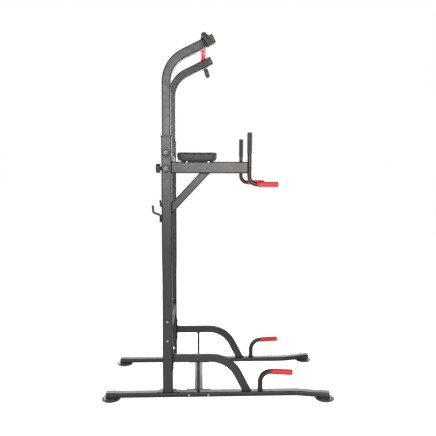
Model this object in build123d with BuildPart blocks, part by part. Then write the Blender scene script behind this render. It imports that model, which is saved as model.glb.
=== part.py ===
from build123d import *

import os
from math import cos, radians, sin, tan

# Power tower: two telescoping side frames joined by crossbars, with dip arms, a pull-up bar,
# push-up handles and suction feet.  Millimetres.  +X is the front, +Y the user's left, +Z up.
# The origin is on the floor, midway between the front and rear feet.
# Pieces in pairs are modelled on the left side, and the right one is the mirror image.

os.makedirs("parts", exist_ok=True)

# ---- Driving dimensions ----
TRACK = 272                 # side frame to centre plane
UPRIGHT_X = -310            # centre of the uprights
WALL = 2                    # steel tube wall
TUBE_CORNER = 7             # outside corner radius of box tube
PLATE = 4                   # welded flange plates

UPRIGHT = 60                # outer upright, square
UPRIGHT_TOP = 1602
MAST = 50                   # telescoping inner tube, square
MAST_BOTTOM = 1220
MAST_BEND_Z = 1915
MAST_BEND_R = 185
MAST_TURN = 63.5            # degrees from vertical to the rising arm
MAST_ARM = 192              # straight arm beyond the bend

FOOT_X = 662                # suction feet, front and rear
FOOT_R = 59
BASE_BOTTOM = 12
BASE_W = 50
BASE_H = 30
BASE_TOP = BASE_BOTTOM + BASE_H
BASE_MID = BASE_BOTTOM + BASE_H / 2
BASE_CORNER = 8
FLARE_X = 496               # where the front of the base turns outwards
FLARE = 12                  # degrees
FLARE_R = 260
TUBE_END_X = 687            # base tube ends, inside their caps
CAP_LENGTH = 57
CAP_WALL = 2

FOOT_PLATE = 138            # flange under each upright
FOOT_PLATE_T = 5
FOOT_BOLTS = 118
CROSS_X = -120              # base crossbar
CROSS_BOLTS = 120
LOWER_CROSS_Z = 433
UPPER_CROSS_Z = 1476
CROSS_PLATE = 150
UPPER_PLATE = 110
UPPER_BOLTS = 84

SUPPORT_Z = 255             # curved support: level run
SUPPORT_H = 50
SUPPORT_W = 25
SUPPORT_BEND_X = -48
SUPPORT_R = 192
SUPPORT_TURN = 62.8         # degrees down from level
SUPPORT_BOLT_Z = (199, 317)
STRUT_X = -122

ARM_TOE = 2                 # dip arms toe outwards, degrees
ARM_BOTTOM = 1390
ARM_TOP = 1458
ARM_W = 40
ARM_END = 478               # from the upright's centre
BRACE_H = 45
BRACE_W = 25
BRACE_ANGLE = 47            # above level
BRACE_REACH = 225           # brace axis meets the arm's underside here
ROD = 25                    # dip handle tube diameter
HANDLE_U = 491              # dip handle, from the upright's centre
HANDLE_TOP = 1626
HANDLE_BEND_R = 48
HANDLE_LOW = 1325.6
GRIP_TOE = 10               # lower dip grips toe outwards
FOAM_R = 15
GRIP_R = 16
GRIP_LENGTH = 126
GRIP_END = 6                # closed end of a grip
FOAM_LENGTH = 124

PAD_REAR = 65               # pad, from the upright's centre
PAD_LENGTH = 234            # at its widest, under the top edge
PAD_WIDTH = 122
PAD_BRACKETS = (122, 248)   # cross plates on the arm
BRACKET_T = 3
BRACKET_L = 96
BRACKET_BOLTS = 70
BOARD_T = 10
BOARD_INSET = 20            # board's edge inside the pad's widest outline
PAD_TOP = 1511
PAD_LIP = 8                 # the cover wraps this far down round the board
PAD_SHOULDER = 7

PUSHUP_ROD = 30             # push-up handle tube diameter
PUSHUP_X = 263
PUSHUP_Z = 166
PUSHUP_BEND_R = 68
PUSHUP_TOE = 8
PUSHUP_GRIP_R = 18
PUSHUP_GRIP_LENGTH = 133

HOOK_ROD = 6.5              # hook rod radius
HOOK_PLATE_Z = 1120

KNOB_R = 27
KNOB_LOBE = 8               # lobe radius
KNOB_ROUND = 2.5
KNOB_Z = (1418, 1511)       # lower and upper clamp knobs
KNOB_T = 19
KNOB_HUB = (11, 5)          # radius and length
KNOB_BACK = 8.2             # clear of the threaded boss on the upright
BOSS = (10, 7)              # radius and height
SCREW_R = 4.95              # clamp screws, in their threaded bosses
SCREW_GAP = 0.1
TIP_GAP = 0.6               # screw and pin tips stop just short of the mast

PIN_Z = 1418
PIN_PITCH = 50              # adjustment holes down the back of the mast
PIN_R = 4.9
PIN_STEM_R = 3.5
PIN_FLANGE = (7, 2.5)       # radius and thickness
PIN_FLANGE_GAP = 0.5
PIN_KNOB_T = 26
PIN_KNOB_FACE = 33          # behind the upright's rear face
BARREL_R = (9.5, 7.6)       # outside and bore
BARREL_L = 22
BARREL_END = 2.5
SPRING_WIRE = 0.6
SPRING_R = 5.6
SPRING_PITCH = 2.9

BAR_R = 14
BAR_GRIP_R = 17
BAR_BACK = 45.6               # bar's seat, back from the arm's end
BAR_BEND_Y = 320
BAR_TIP = (-55.0, 459.0, 2099.0)
BAR_TIP_BEND_R = 60
BAR_FOAM_R = 16.5
BAR_FOAM_Y = 301            # foam starts just outside the mast
BAR_GRIP_Y = 4              # red grips either side of the middle
BAR_GRIP_LENGTH = 238
SADDLE = (36, 34)           # cradle under the bar, across and along the arm
SADDLE_H = 9
BAR_NOTCH = 5.2             # the bar is let into the top of the mast

M8 = 4.0                    # bolt shank radii and head sizes
M6 = 3.0
HOLE_GAP = 0.4
THROUGH = 80                # drilling depth that passes any tube
HEX_8 = 6.5                 # half the width across flats
HEX_6 = 5.0
HEAD_8 = 5.5
HEAD_6 = 4.0

# ---- Worked-out places ----
turn = radians(MAST_TURN)
arm_dir = (sin(turn), 0, cos(turn))
arm_up = (-cos(turn), 0, sin(turn))
mast_bend_end = (
    UPRIGHT_X + MAST_BEND_R * (1 - cos(turn)),
    TRACK,
    MAST_BEND_Z + MAST_BEND_R * sin(turn),
)


def along(point, direction, distance):
    """The point a distance from another in a direction."""
    return tuple(p + distance * d for p, d in zip(point, direction))


arm_end = along(mast_bend_end, arm_dir, MAST_ARM)
bar_seat = along(arm_end, arm_dir, -BAR_BACK)
bar_centre = along(bar_seat, arm_up, MAST / 2 - BAR_NOTCH + BAR_R)

front_face = Plane(origin=(UPRIGHT_X + UPRIGHT / 2, TRACK, 0), x_dir=(0, 1, 0), z_dir=(1, 0, 0))
rear_face = Plane(origin=(UPRIGHT_X - UPRIGHT / 2, TRACK, 0), x_dir=(0, -1, 0), z_dir=(-1, 0, 0))
outer_face = Plane(origin=(UPRIGHT_X, TRACK + UPRIGHT / 2, 0), x_dir=(-1, 0, 0), z_dir=(0, 1, 0))
inner_face = Plane(origin=(UPRIGHT_X, TRACK - UPRIGHT / 2, 0), x_dir=(1, 0, 0), z_dir=(0, -1, 0))

# The dip arm's own upright plane: local x runs out along the arm, local y is height.
toe = radians(ARM_TOE)
arm_plane = Plane(
    origin=(UPRIGHT_X, TRACK, 0),
    x_dir=(cos(toe), sin(toe), 0),
    z_dir=(sin(toe), -cos(toe), 0),
)
arm_side = arm_plane.z_dir


# ---- Shared features ----
def write_piece(name, part):
    """Label a finished piece and write its STEP file."""
    part.label = name
    export_step(part, f"parts/{name}.step")


def write_pair(name, part):
    """Write a left-hand piece and its mirror image on the right."""
    write_piece(f"{name}_left", part)
    with BuildPart() as twin:
        mirror(part, about=Plane.XZ)
    write_piece(f"{name}_right", twin.part)


def box_tube_section(width, height, corner=TUBE_CORNER, wall=WALL):
    """The hollow section of a box tube, drawn in the current sketch."""
    RectangleRounded(width, height, corner)
    RectangleRounded(width - 2 * wall, height - 2 * wall, corner - wall, mode=Mode.SUBTRACT)


def ring_section(outer, inner):
    """A ring drawn in the current sketch."""
    Circle(outer)
    Circle(inner, mode=Mode.SUBTRACT)


def drill(place, radius, depth):
    """Cut a round hole from a plane's origin down into the current part."""
    with Locations(place):
        Cylinder(radius, depth, align=(Align.CENTER, Align.CENTER, Align.MAX), mode=Mode.SUBTRACT)


def carriage_bolt(place, grip):
    """An M8 bolt whose domed head bears on a plane, and the nut that closes its grip length."""
    with BuildPart() as bolt:
        with BuildSketch(place):
            Circle(HEX_8 * 1.25)
        extrude(amount=HEAD_8, taper=38)
        with BuildSketch(place):
            Circle(M8)
        extrude(amount=-(grip + HEAD_8 + 3))
        with BuildSketch(place.offset(-grip)):
            RegularPolygon(HEX_8, 6, major_radius=False)
            Circle(M8 + 0.05, mode=Mode.SUBTRACT)
        extrude(amount=-HEAD_8)
    return bolt.part


def hex_screw(place, length):
    """An M6 screw whose hexagon head bears on a plane."""
    with BuildPart() as screw:
        with BuildSketch(place):
            RegularPolygon(HEX_6, 6, major_radius=False)
        extrude(amount=HEAD_6)
        with BuildSketch(place):
            Circle(M6 - 0.05)
        extrude(amount=-length)
    return screw.part


def at(plane, x, y, offset=0.0):
    """The same plane with its origin moved to local x, y, and raised by an offset."""
    return Plane(origin=plane.from_local_coords((x, y, offset)), x_dir=plane.x_dir, z_dir=plane.z_dir)


def heading(degrees):
    """A level direction that toes outwards from the front."""
    return (cos(radians(degrees)), sin(radians(degrees)), 0)


def bent_handle(start, level_z, bend_r, rod, toe_out, grip_length):
    """A round tube that rises or falls from its start and bends level towards its grip."""
    corner = (start[0], start[1], level_z)
    tip = along(corner, heading(toe_out), bend_r + grip_length - GRIP_END)
    with BuildPart() as handle:
        with BuildLine():
            FilletPolyline(start, corner, tip, radius=bend_r)
        with BuildSketch(Plane(origin=start, x_dir=(1, 0, 0), z_dir=(0, 0, level_z - start[2]))):
            ring_section(rod / 2, rod / 2 - WALL)
        sweep()
    return handle.part


def closed_grip(corner, bend_r, rod, toe_out, radius, length):
    """A grip pushed on over a handle tube from the end of its bend, domed at the far end."""
    direction = heading(toe_out)
    place = Plane(origin=along(corner, direction, bend_r), x_dir=(0, 0, 1), z_dir=direction)
    with BuildPart() as grip:
        with BuildSketch(place):
            Circle(radius)
        extrude(amount=length)
        far_rim = edges().filter_by(GeomType.CIRCLE).sort_by(Axis(place.origin, place.z_dir))[-1]
        fillet(far_rim, radius * 0.45)
        with BuildSketch(place):
            Circle(rod / 2)
        extrude(amount=length - GRIP_END, mode=Mode.SUBTRACT)
    return grip.part


# ---- Base ----
flare = radians(FLARE)
flare_dir = (cos(flare), sin(flare), 0)
base_rear = (-TUBE_END_X, TRACK, BASE_MID)
base_bend = (FLARE_X, TRACK, BASE_MID)
base_front = along(base_bend, flare_dir, (TUBE_END_X - FLARE_X) / cos(flare))
front_foot_y = TRACK + (FOOT_X - FLARE_X) * tan(flare)
rear_end = Plane(origin=base_rear, x_dir=(0, -1, 0), z_dir=(-1, 0, 0))
front_end = Plane(origin=base_front, x_dir=(-sin(flare), cos(flare), 0), z_dir=flare_dir)
foot_places = {"rear": (-FOOT_X, TRACK), "front": (FOOT_X, front_foot_y)}

with BuildPart() as base_tube:
    with BuildLine():
        FilletPolyline(base_rear, base_bend, base_front, radius=FLARE_R)
    with BuildSketch(Plane(origin=base_rear, x_dir=(0, 1, 0), z_dir=(1, 0, 0))):
        box_tube_section(BASE_W, BASE_H, BASE_CORNER)
    sweep()
    for side in (-1, 1):
        foot_bolt = Plane(origin=(UPRIGHT_X + side * FOOT_BOLTS / 2, TRACK, BASE_TOP + 1))
        cross_bolt = at(outer_face, UPRIGHT_X - CROSS_X + side * CROSS_BOLTS / 2, BASE_MID)
        drill(foot_bolt, M8 + HOLE_GAP, THROUGH)
        drill(cross_bolt, M8 + HOLE_GAP, THROUGH)
    for x, y in foot_places.values():
        drill(Plane(origin=(x, y, BASE_MID)), 5.2, 30)
write_pair("base_tube", base_tube.part)

with BuildPart() as base_end_caps:
    for place in (rear_end, front_end):
        mouth = place.offset(CAP_WALL + 2 - CAP_LENGTH)
        with BuildSketch(mouth):
            RectangleRounded(BASE_W + 2 * CAP_WALL, BASE_H + 2 * CAP_WALL, BASE_CORNER + CAP_WALL)
        extrude(amount=CAP_LENGTH)
        with BuildSketch(mouth):
            RectangleRounded(BASE_W, BASE_H, BASE_CORNER)
        extrude(amount=CAP_LENGTH - CAP_WALL - 2, mode=Mode.SUBTRACT)
    for x, y in foot_places.values():
        drill(Plane(origin=(x, y, BASE_MID)), 5.2, 30)
    mirror(about=Plane.XZ)
write_piece("base_end_caps", base_end_caps.part)

# Each foot is a rubber cup with a shallow hollow below and a button that snaps into the tube.
for end, (x, y) in foot_places.items():
    with BuildPart() as suction_foot:
        with BuildSketch(Plane(origin=(x, y, 0), x_dir=(1, 0, 0), z_dir=(0, -1, 0))):
            with BuildLine():
                Polyline((0, 4), (30, 4), (50, 0), (FOOT_R, 0), (FOOT_R, 2.2))
                ThreePointArc((FOOT_R, 2.2), (42, 5.2), (27, 9.4))
                Polyline((27, 9.4), (24, 10), (5, 10), (5, 14), (8, 14), (5, 19), (0, 19), (0, 4))
            make_face()
        revolve(axis=Axis((x, y, 0), (0, 0, 1)))
    write_pair(f"suction_foot_{end}", suction_foot.part)

# ---- Uprights ----
plate_top = BASE_TOP + FOOT_PLATE_T
with BuildPart() as upright:
    with BuildSketch(Plane.XY.offset(plate_top)):
        with Locations((UPRIGHT_X, TRACK)):
            box_tube_section(UPRIGHT, UPRIGHT)
    extrude(amount=UPRIGHT_TOP - plate_top)
    with BuildSketch(Plane.XY.offset(BASE_TOP)):
        with Locations((UPRIGHT_X, TRACK)):
            RectangleRounded(FOOT_PLATE, BASE_W, 6)
            with GridLocations(FOOT_BOLTS, 0, 2, 1):
                Circle(M8 + HOLE_GAP, mode=Mode.SUBTRACT)
    extrude(amount=FOOT_PLATE_T)
    for z in KNOB_Z:
        with BuildSketch(at(outer_face, 0, z)):
            Circle(BOSS[0])
        extrude(amount=BOSS[1])
        drill(at(outer_face, 0, z, BOSS[1] + 1), SCREW_R + SCREW_GAP, BOSS[1] + WALL + 3)
    drill(at(rear_face, 0, PIN_Z, 1), PIN_R + 0.2, WALL + 2)
    for z in SUPPORT_BOLT_Z:
        drill(at(front_face, 0, z, 1), M8 + HOLE_GAP, THROUGH)
    for z in (LOWER_CROSS_Z - CROSS_BOLTS / 2, LOWER_CROSS_Z + CROSS_BOLTS / 2):
        drill(at(outer_face, 0, z, 1), M8 + HOLE_GAP, THROUGH)
    for z in (UPPER_CROSS_Z - UPPER_BOLTS / 2, UPPER_CROSS_Z + UPPER_BOLTS / 2):
        drill(at(inner_face, 0, z, 1), M6, 4)
write_pair("upright", upright.part)

with BuildPart() as collar:
    with BuildSketch(Plane.XY.offset(UPRIGHT_TOP)):
        with Locations((UPRIGHT_X, TRACK)):
            RectangleRounded(UPRIGHT + 7, UPRIGHT + 7, TUBE_CORNER + 3)
    extrude(amount=7)
    chamfer(faces().sort_by(Axis.Z)[-1].edges(), 1.6)
    with BuildSketch(Plane.XY.offset(UPRIGHT_TOP)):
        with Locations((UPRIGHT_X, TRACK)):
            RectangleRounded(UPRIGHT - 2 * WALL - 0.2, UPRIGHT - 2 * WALL - 0.2, TUBE_CORNER - WALL)
    extrude(amount=-36)
    with BuildSketch(Plane.XY.offset(UPRIGHT_TOP + 8)):
        with Locations((UPRIGHT_X, TRACK)):
            RectangleRounded(MAST + 0.8, MAST + 0.8, TUBE_CORNER + 0.4)
    extrude(amount=-50, mode=Mode.SUBTRACT)
write_pair("collar", collar.part)

# ---- Curved supports, struts and crossbars ----
support_start = (UPRIGHT_X + UPRIGHT / 2 + PLATE, TRACK, SUPPORT_Z)
drop = radians(SUPPORT_TURN)
support_corner_x = SUPPORT_BEND_X + SUPPORT_R * tan(drop / 2)
support_corner = (support_corner_x, TRACK, SUPPORT_Z)
support_end = along(support_corner, (cos(drop), 0, -sin(drop)), 280)
with BuildPart() as curved_support:
    with BuildLine():
        FilletPolyline(support_start, support_corner, support_end, radius=SUPPORT_R)
    with BuildSketch(Plane(origin=support_start, x_dir=(0, 1, 0), z_dir=(1, 0, 0))):
        box_tube_section(SUPPORT_W, SUPPORT_H)
    sweep()
    split(bisect_by=Plane.XY.offset(BASE_TOP), keep=Keep.TOP)
    with BuildSketch(at(front_face, 0, sum(SUPPORT_BOLT_Z) / 2)):
        RectangleRounded(UPRIGHT - 8, CROSS_PLATE, 6)
        with GridLocations(0, SUPPORT_BOLT_Z[1] - SUPPORT_BOLT_Z[0], 1, 2):
            Circle(M8 + HOLE_GAP, mode=Mode.SUBTRACT)
    extrude(amount=PLATE)
write_pair("curved_support", curved_support.part)

with BuildPart() as strut:
    with BuildSketch(Plane.XY.offset(BASE_TOP)):
        with Locations((STRUT_X, TRACK)):
            box_tube_section(15, SUPPORT_W, 2.5, 1.2)
    extrude(amount=SUPPORT_Z - SUPPORT_H / 2 - BASE_TOP)
write_pair("strut", strut.part)


def crossbar(x, z, inside, section, plate, bolt_pitch, bolt_hole):
    """A level tube between the side frames, with a flange plate and two bolt holes at each end."""
    half_span = inside - PLATE
    end_face = Plane(origin=(x, half_span, z), x_dir=(1, 0, 0), z_dir=(0, -1, 0))
    with BuildPart() as bar:
        with BuildSketch(end_face):
            box_tube_section(*section, min(section) / 6)
        extrude(amount=2 * half_span)
        for flange in (end_face, end_face.offset(2 * half_span + PLATE)):
            with BuildSketch(flange):
                RectangleRounded(*plate, 5)
                with GridLocations(*bolt_pitch, 2 if bolt_pitch[0] else 1, 2 if bolt_pitch[1] else 1):
                    Circle(bolt_hole, mode=Mode.SUBTRACT)
            extrude(amount=-PLATE)
    return bar.part


inside_base = TRACK - BASE_W / 2
inside_uprights = TRACK - UPRIGHT / 2
m8_hole = M8 + HOLE_GAP
m6_hole = M6 + HOLE_GAP
base_crossbar = crossbar(
    CROSS_X, BASE_MID, inside_base, (50, 28), (CROSS_PLATE, BASE_H), (CROSS_BOLTS, 0), m8_hole
)
lower_crossbar = crossbar(
    UPRIGHT_X, LOWER_CROSS_Z, inside_uprights, (50, 50), (52, CROSS_PLATE), (0, CROSS_BOLTS), m8_hole
)
upper_crossbar = crossbar(
    UPRIGHT_X, UPPER_CROSS_Z, inside_uprights, (50, 50), (52, UPPER_PLATE), (0, UPPER_BOLTS), m6_hole
)
write_piece("base_crossbar", base_crossbar)
write_piece("lower_crossbar", lower_crossbar)
write_piece("upper_crossbar", upper_crossbar)

# ---- Dip arms, braces and handles ----
arm_start = UPRIGHT / 2 / cos(toe) + ARM_W / 2 * tan(toe)
arm_mid = (ARM_BOTTOM + ARM_TOP) / 2
upright_front = Plane(origin=(UPRIGHT_X + UPRIGHT / 2, TRACK, 0), z_dir=(1, 0, 0))


def arm_across(u, z):
    """A plane across the arm at a distance out from the upright's centre, facing outwards."""
    return Plane(origin=arm_plane.from_local_coords((u, z, 0)), x_dir=arm_side, z_dir=arm_plane.x_dir)


def arm_level(u, z):
    """A level plane on the arm's centre line, with its x axis out along the arm."""
    return Plane(origin=arm_plane.from_local_coords((u, z, 0)), x_dir=arm_plane.x_dir, z_dir=(0, 0, 1))


with BuildPart() as dip_arm:
    with BuildSketch(arm_across(UPRIGHT / 2 - 8, arm_mid)):
        box_tube_section(ARM_W, ARM_TOP - ARM_BOTTOM)
    extrude(amount=ARM_END - UPRIGHT / 2 + 8)
    split(bisect_by=upright_front, keep=Keep.TOP)
    for u in PAD_BRACKETS:
        with BuildSketch(arm_level(u, ARM_TOP)):
            RectangleRounded(26, BRACKET_L, 5)
            with GridLocations(0, BRACKET_BOLTS, 1, 2):
                Circle(M6 + HOLE_GAP, mode=Mode.SUBTRACT)
        extrude(amount=BRACKET_T)
write_pair("dip_arm", dip_arm.part)

slope = radians(BRACE_ANGLE)
brace_top = arm_plane.from_local_coords((BRACE_REACH, ARM_BOTTOM, 0))
brace_dir = tuple(
    cos(slope) * level + sin(slope) * rise for level, rise in zip(tuple(arm_plane.x_dir), (0, 0, 1))
)
with BuildPart() as arm_brace:
    with BuildSketch(Plane(origin=along(brace_top, brace_dir, 60), x_dir=arm_side, z_dir=brace_dir)):
        box_tube_section(BRACE_W, BRACE_H)
    extrude(amount=-420)
    split(bisect_by=Plane.XY.offset(ARM_BOTTOM), keep=Keep.BOTTOM)
    split(bisect_by=upright_front, keep=Keep.TOP)
write_pair("arm_brace", arm_brace.part)

handle_top = tuple(arm_plane.from_local_coords((HANDLE_U, HANDLE_TOP, 0)))
write_pair(
    "dip_handle",
    bent_handle(handle_top, HANDLE_LOW, HANDLE_BEND_R, ROD, GRIP_TOE, GRIP_LENGTH),
)
with BuildPart() as dip_foam_grip:
    foam_base = Plane(origin=(handle_top[0], handle_top[1], HANDLE_TOP + 4 - FOAM_LENGTH))
    with BuildSketch(foam_base):
        ring_section(FOAM_R, ROD / 2)
    extrude(amount=FOAM_LENGTH - 4)
    with BuildSketch(Plane(origin=(handle_top[0], handle_top[1], HANDLE_TOP))):
        Circle(FOAM_R)
    extrude(amount=4)
    fillet(edges().filter_by(GeomType.CIRCLE).sort_by(Axis.Z)[-1], 2.5)
write_pair("dip_foam_grip", dip_foam_grip.part)

handle_corner = (handle_top[0], handle_top[1], HANDLE_LOW)
write_pair(
    "dip_red_grip",
    closed_grip(handle_corner, HANDLE_BEND_R, ROD, GRIP_TOE, GRIP_R, GRIP_LENGTH),
)

# ---- Forearm pads ----
pad_mid = PAD_REAR + PAD_LENGTH / 2
board_bottom = ARM_TOP + BRACKET_T
board_top = board_bottom + BOARD_T
board_size = (PAD_LENGTH - 2 * BOARD_INSET, PAD_WIDTH - 2 * BOARD_INSET, 14)
with BuildPart() as pad_board:
    with BuildSketch(arm_level(pad_mid, board_bottom)):
        RectangleRounded(*board_size)
    extrude(amount=BOARD_T)
    for u in PAD_BRACKETS:
        for side in (-1, 1):
            hole = arm_level(u, board_top)
            drill(at(hole, 0, side * BRACKET_BOLTS / 2), M6, BOARD_T + 1)
write_pair("pad_board", pad_board.part)

# The pad is widest a shoulder's height above its middle and tapers down to wrap the board.
pad_bottom = board_top - PAD_LIP
pad_levels = (              # height, narrower by, corner radius
    (pad_bottom, 28, 22),
    (pad_bottom + 7, 18, 25),
    (PAD_TOP - 12, 0, 28),
)
with BuildPart() as forearm_pad:
    for z, narrower, corner in pad_levels:
        with BuildSketch(arm_level(pad_mid, z)):
            RectangleRounded(PAD_LENGTH - narrower, PAD_WIDTH - narrower * 0.6, corner)
    loft(ruled=True)
    with BuildSketch(arm_level(pad_mid, PAD_TOP - 12)):
        RectangleRounded(PAD_LENGTH, PAD_WIDTH, 28)
    extrude(amount=12)
    fillet(faces().sort_by(Axis.Z)[-1].edges(), PAD_SHOULDER)
    with BuildSketch(arm_level(pad_mid, board_bottom)):
        RectangleRounded(*board_size)
    extrude(amount=BOARD_T, mode=Mode.SUBTRACT)
write_pair("forearm_pad", forearm_pad.part)

# ---- Band and dumbbell hooks on the back of the uprights ----
hook_points = [
    (-348, TRACK, 1098),
    (-348, TRACK, 1140),
    (-391, TRACK, 1155),
    (-394, TRACK, 1198),
]
with BuildPart() as hook:
    with BuildLine():
        FilletPolyline(*hook_points, radius=13)
    with BuildSketch(Plane(origin=hook_points[0])):
        Circle(HOOK_ROD)
    sweep()
    tip = faces().filter_by(GeomType.PLANE).sort_by(Axis.Z)[-1]
    fillet(tip.edges(), HOOK_ROD / 2)
    with BuildSketch(at(rear_face, 0, HOOK_PLATE_Z)):
        RectangleRounded(18, 46, 4)
    extrude(amount=3)
write_pair("hook", hook.part)

# ---- Push-up handles ----
pushup_foot = (PUSHUP_X, TRACK, BASE_TOP)
write_pair(
    "pushup_handle",
    bent_handle(pushup_foot, PUSHUP_Z, PUSHUP_BEND_R, PUSHUP_ROD, PUSHUP_TOE, PUSHUP_GRIP_LENGTH),
)

pushup_corner = (PUSHUP_X, TRACK, PUSHUP_Z)
pushup_grip = closed_grip(
    pushup_corner, PUSHUP_BEND_R, PUSHUP_ROD, PUSHUP_TOE, PUSHUP_GRIP_R, PUSHUP_GRIP_LENGTH
)
write_pair("pushup_grip", pushup_grip)


# ---- Clamp knobs and pull pins ----
def star_outline():
    """A six-lobed knob outline, drawn in the current sketch."""
    Circle(KNOB_R - KNOB_LOBE + 1)
    with PolarLocations(KNOB_R - KNOB_LOBE, 6):
        Circle(KNOB_LOBE)


wall_to_mast = (UPRIGHT - MAST) / 2
for level, z in zip(("lower", "upper"), KNOB_Z):
    with BuildPart() as clamp_knob:
        with BuildSketch(at(outer_face, 0, z, KNOB_BACK + KNOB_HUB[1])):
            star_outline()
        extrude(amount=KNOB_T)
        fillet(faces().sort_by(Axis.Y)[-1].edges(), KNOB_ROUND)
        with BuildSketch(at(outer_face, 0, z, KNOB_BACK)):
            Circle(KNOB_HUB[0])
        extrude(amount=KNOB_HUB[1])
        with BuildSketch(at(outer_face, 0, z, KNOB_BACK)):
            Circle(SCREW_R)
        extrude(amount=-(KNOB_BACK + wall_to_mast - TIP_GAP))
    write_pair(f"clamp_knob_{level}", clamp_knob.part)

# Each pin's barrel is welded to the upright; a spring inside it pushes the pin forwards.
with BuildPart() as pin_barrel:
    with BuildSketch(at(rear_face, 0, PIN_Z)):
        ring_section(*BARREL_R)
    extrude(amount=BARREL_L)
    with BuildSketch(at(rear_face, 0, PIN_Z, BARREL_L - BARREL_END)):
        ring_section(BARREL_R[1] + 0.4, PIN_STEM_R + 0.1)
    extrude(amount=BARREL_END)
write_pair("pin_barrel", pin_barrel.part)

flange_back = PIN_FLANGE_GAP + PIN_FLANGE[1]
knob_mouth = PIN_KNOB_FACE - PIN_KNOB_T
with BuildPart() as pull_pin:
    with BuildSketch(at(rear_face, 0, PIN_Z, knob_mouth)):
        star_outline()
    extrude(amount=PIN_KNOB_T)
    fillet(faces().sort_by(Axis.X)[0].edges(), KNOB_ROUND)
    with BuildSketch(at(rear_face, 0, PIN_Z, knob_mouth)):
        Circle(BARREL_R[0] + 0.7)
    extrude(amount=BARREL_L - knob_mouth + 0.6, mode=Mode.SUBTRACT)
    with BuildSketch(at(rear_face, 0, PIN_Z, BARREL_L + 2)):
        Circle(PIN_STEM_R)
    extrude(amount=-(BARREL_L + 2))
    with BuildSketch(at(rear_face, 0, PIN_Z, PIN_FLANGE_GAP)):
        Circle(PIN_FLANGE[0])
    extrude(amount=PIN_FLANGE[1])
    with BuildSketch(at(rear_face, 0, PIN_Z, PIN_FLANGE_GAP)):
        Circle(PIN_R)
    extrude(amount=-(PIN_FLANGE_GAP + wall_to_mast - TIP_GAP))
write_pair("pull_pin", pull_pin.part)

spring_room = BARREL_L - BARREL_END - flange_back
spring_length = spring_room - 2 * SPRING_WIRE - 0.4
spring_start = at(rear_face, 0, PIN_Z, flange_back + SPRING_WIRE + 0.2)
with BuildPart() as pin_spring:
    with BuildLine():
        coil = Helix(
            SPRING_PITCH, spring_length, SPRING_R, center=spring_start.origin, direction=spring_start.z_dir
        )
    with BuildSketch(Plane(origin=coil @ 0, z_dir=coil % 0)):
        Circle(SPRING_WIRE)
    sweep(is_frenet=True)
write_pair("pin_spring", pin_spring.part)

# ---- Masts ----
mast_start = (UPRIGHT_X, TRACK, MAST_BOTTOM)
mast_corner = (UPRIGHT_X, TRACK, MAST_BEND_Z + MAST_BEND_R * tan(turn / 2))
mast_rear = Plane(origin=(UPRIGHT_X - MAST / 2, TRACK, 0), x_dir=(0, -1, 0), z_dir=(-1, 0, 0))
bar_bolt_place = Plane(origin=along(bar_centre, arm_up, BAR_R), x_dir=(0, 1, 0), z_dir=arm_up)
with BuildPart() as mast:
    with BuildLine():
        FilletPolyline(mast_start, mast_corner, arm_end, radius=MAST_BEND_R)
    with BuildSketch(Plane(origin=mast_start)):
        box_tube_section(MAST, MAST)
    sweep()
    with BuildSketch(Plane(origin=along(bar_seat, arm_up, MAST / 2), x_dir=(0, 1, 0), z_dir=arm_up)):
        Rectangle(*SADDLE)
    extrude(amount=SADDLE_H)
    drill(Plane(origin=along(bar_centre, (0, 1, 0), MAST), z_dir=(0, 1, 0)), BAR_R, 2 * MAST)
    for step in range(-2, 5):
        drill(at(mast_rear, 0, PIN_Z + step * PIN_PITCH, 1), 5.3, 4)
    drill(bar_bolt_place, M8 + HOLE_GAP, 90)
write_pair("mast", mast.part)

with BuildPart() as mast_end_caps:
    mast_mouth = Plane(origin=arm_end, x_dir=(0, 1, 0), z_dir=arm_dir)
    with BuildSketch(mast_mouth):
        RectangleRounded(MAST, MAST, TUBE_CORNER)
    extrude(amount=4)
    fillet(faces().sort_by(Axis(arm_end, arm_dir))[-1].edges(), 2)
    with BuildSketch(mast_mouth):
        box_tube_section(MAST - 2 * WALL, MAST - 2 * WALL, TUBE_CORNER - WALL, 1.5)
    extrude(amount=-16)
    mirror(about=Plane.XZ)
write_piece("mast_end_caps", mast_end_caps.part)

with BuildPart() as mast_glides:
    with BuildSketch(Plane(origin=mast_start)):
        RectangleRounded(UPRIGHT - 2 * WALL - 1, UPRIGHT - 2 * WALL - 1, TUBE_CORNER - WALL)
    extrude(amount=-8)
    with BuildSketch(Plane(origin=mast_start)):
        box_tube_section(MAST - 2 * WALL, MAST - 2 * WALL, TUBE_CORNER - WALL, 2)
    extrude(amount=24)
    mirror(about=Plane.XZ)
write_piece("mast_glides", mast_glides.part)

# ---- Pull-up bar ----
bar_corner = (bar_centre[0], BAR_BEND_Y, bar_centre[2])
tip_dir = (Vector(*BAR_TIP) - Vector(*bar_corner)).normalized()


def bar_station(y):
    """A plane across the straight middle of the bar, facing the left end."""
    return Plane(origin=(bar_centre[0], y, bar_centre[2]), x_dir=(1, 0, 0), z_dir=(0, 1, 0))


with BuildPart() as pull_up_bar:
    with BuildLine():
        FilletPolyline(bar_station(0).origin, bar_corner, BAR_TIP, radius=BAR_TIP_BEND_R)
    with BuildSketch(bar_station(0)):
        ring_section(BAR_R, BAR_R - WALL)
    sweep()
    drill(bar_bolt_place, M8 + HOLE_GAP, 2 * BAR_R + 1)
    mirror(about=Plane.XZ)
write_piece("pull_up_bar", pull_up_bar.part)

with BuildPart() as bar_red_grip:
    with BuildSketch(bar_station(BAR_GRIP_Y)):
        ring_section(BAR_GRIP_R, BAR_R)
    extrude(amount=BAR_GRIP_LENGTH)
write_pair("bar_red_grip", bar_red_grip.part)

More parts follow.
